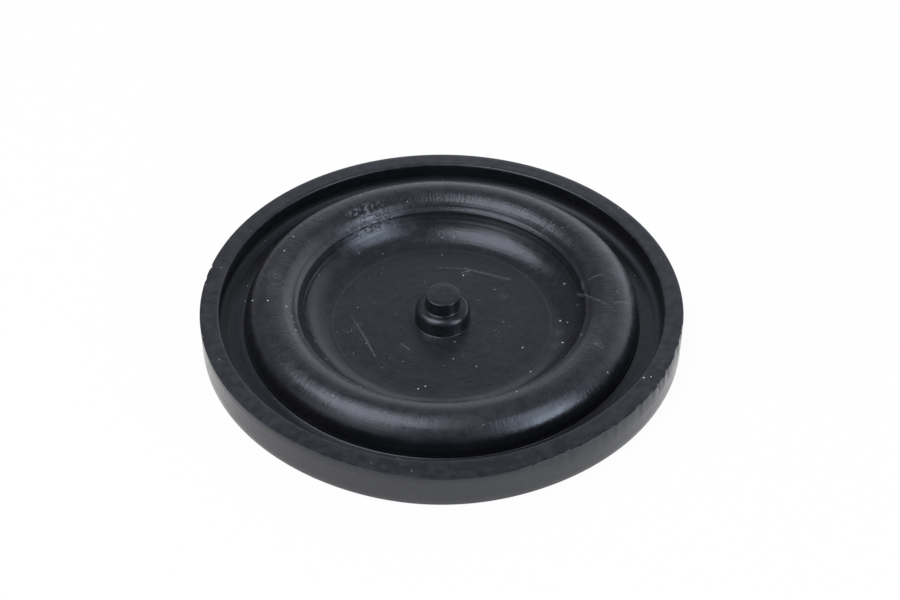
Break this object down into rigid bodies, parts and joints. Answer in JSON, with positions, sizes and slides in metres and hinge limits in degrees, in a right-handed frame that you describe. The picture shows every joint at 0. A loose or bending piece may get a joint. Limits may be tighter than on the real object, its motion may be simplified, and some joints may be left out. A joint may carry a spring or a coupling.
{
  "type": "crankcase ventilation diaphragm",
  "caption": "Round moulded rubber diaphragm: a square rim bead, a flat groove, a rolled fold, and a cupped disc with a stepped centre nub.",
  "frame": {"origin": "on the axis of the part, in the plane of the rim's underside", "axes": "+Z along the axis, from the rim's underside towards the nub's free end; X and Y across the disc"},
  "size_m": [0.07, 0.07, 0.0068],
  "materials": {
    "black_rubber": "satin black moulded rubber, smooth, with light mould bloom and dust"
  },
  "bodies": {
    "root": {"diaphragm": "black_rubber"}
  },
  "joints": []
}
